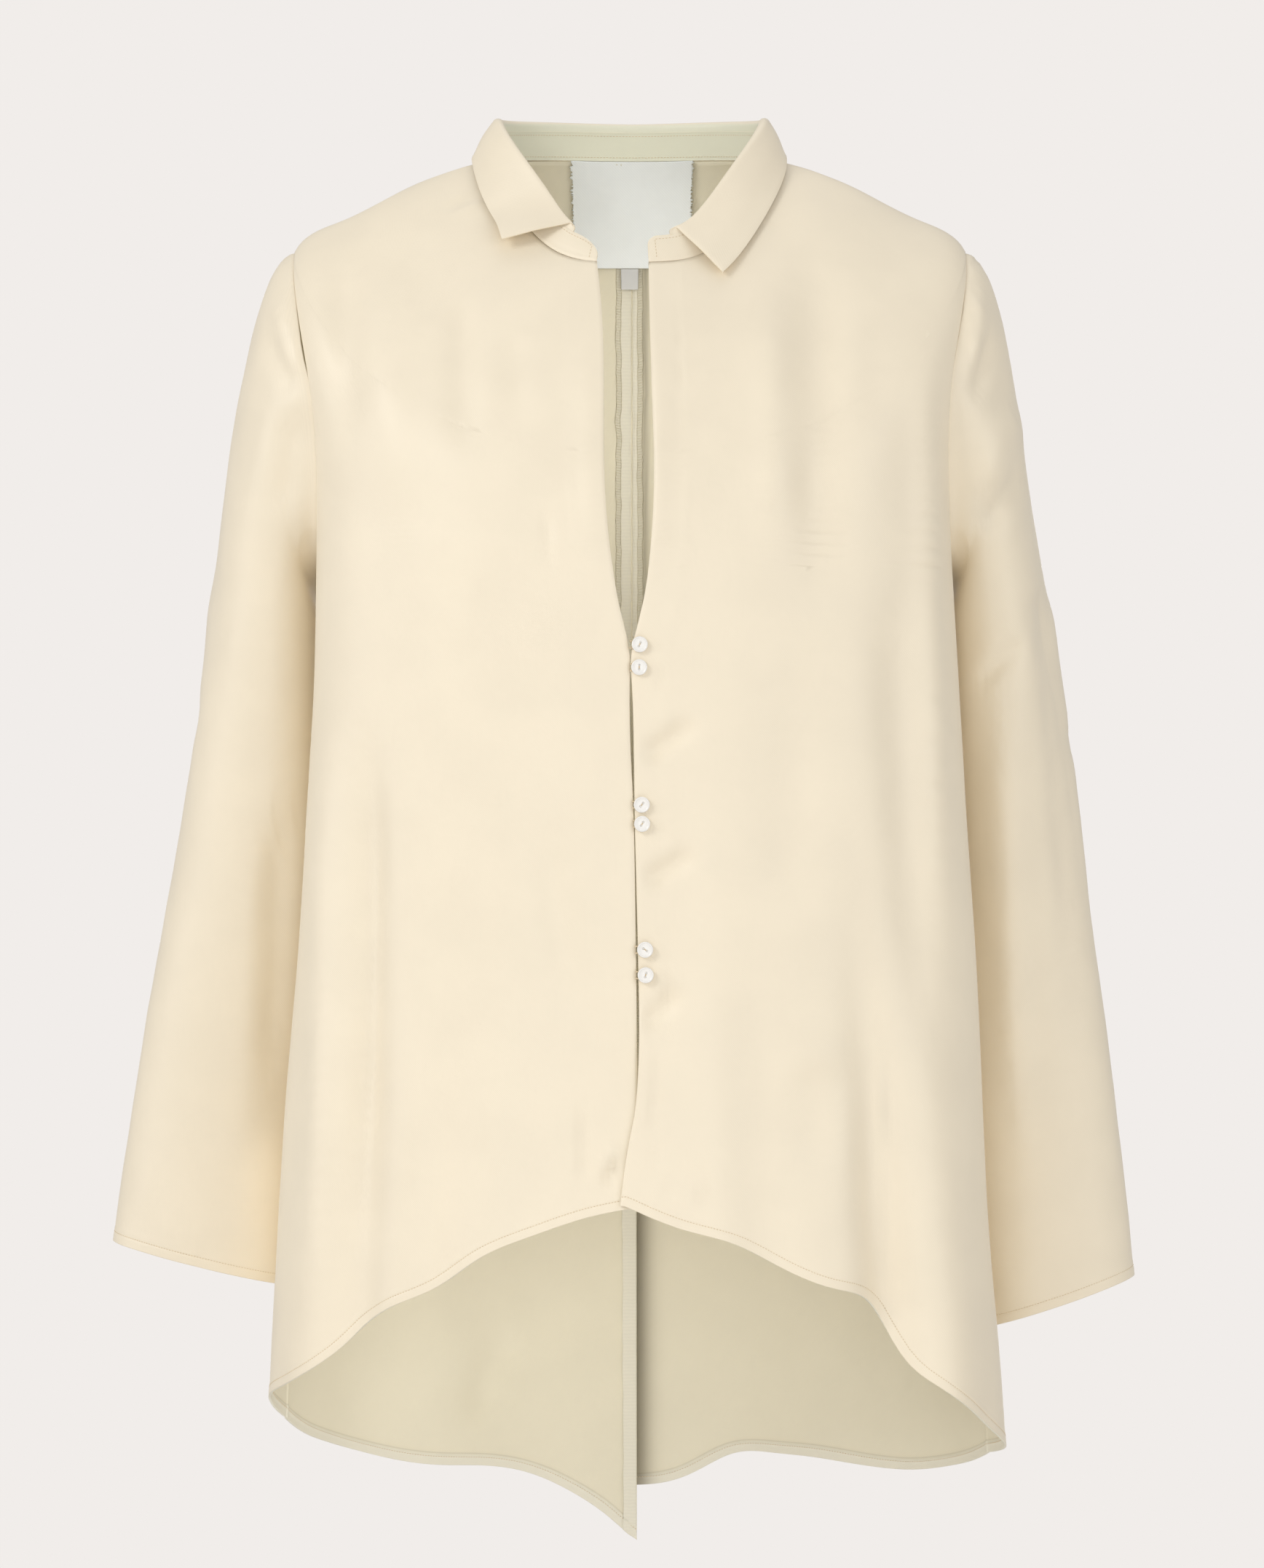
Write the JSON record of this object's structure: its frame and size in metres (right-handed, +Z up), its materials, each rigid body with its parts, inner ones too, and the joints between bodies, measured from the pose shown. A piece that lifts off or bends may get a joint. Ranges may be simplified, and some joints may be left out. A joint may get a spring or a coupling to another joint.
{
  "type": "long sleeved shirt",
  "caption": "Long sleeved satin shirt with a turned-down collar, button and loop front, split back and a hem that dips low behind, standing open as worn.",
  "frame": {"origin": "middle of the neck opening, level with the tops of the shoulders, where the wearer holds the shirt up", "axes": "+Z up the wearer's body, -Y the front, -X the wearer's right and +X the wearer's left"},
  "size_m": [0.6078, 0.3045, 0.8577],
  "materials": {
    "cream_satin": "pale cream satin twill, softly shining outside and matt inside",
    "pearl_shell": "polished mother-of-pearl",
    "cream_thread": "cream thread",
    "white_label": "blank white woven label with raw sides",
    "grey_tape": "blank grey woven tape"
  },
  "bodies": {
    "root": {"front_right": "cream_satin", "front_left": "cream_satin", "back_right": "cream_satin", "back_left": "cream_satin", "sleeve_right": "cream_satin", "sleeve_left": "cream_satin", "collar_stand": "cream_satin", "collar_leaf": "cream_satin", "back_seam_right": "cream_satin", "back_seam_left": "cream_satin", "neck_label": "white_label", "size_tab": "grey_tape", "button_1": "pearl_shell", "button_2": "pearl_shell", "button_3": "pearl_shell", "button_4": "pearl_shell", "button_5": "pearl_shell", "button_6": "pearl_shell", "loop_1": "cream_thread", "loop_2": "cream_thread", "loop_3": "cream_thread", "loop_4": "cream_thread", "loop_5": "cream_thread", "loop_6": "cream_thread"}
  },
  "joints": []
}
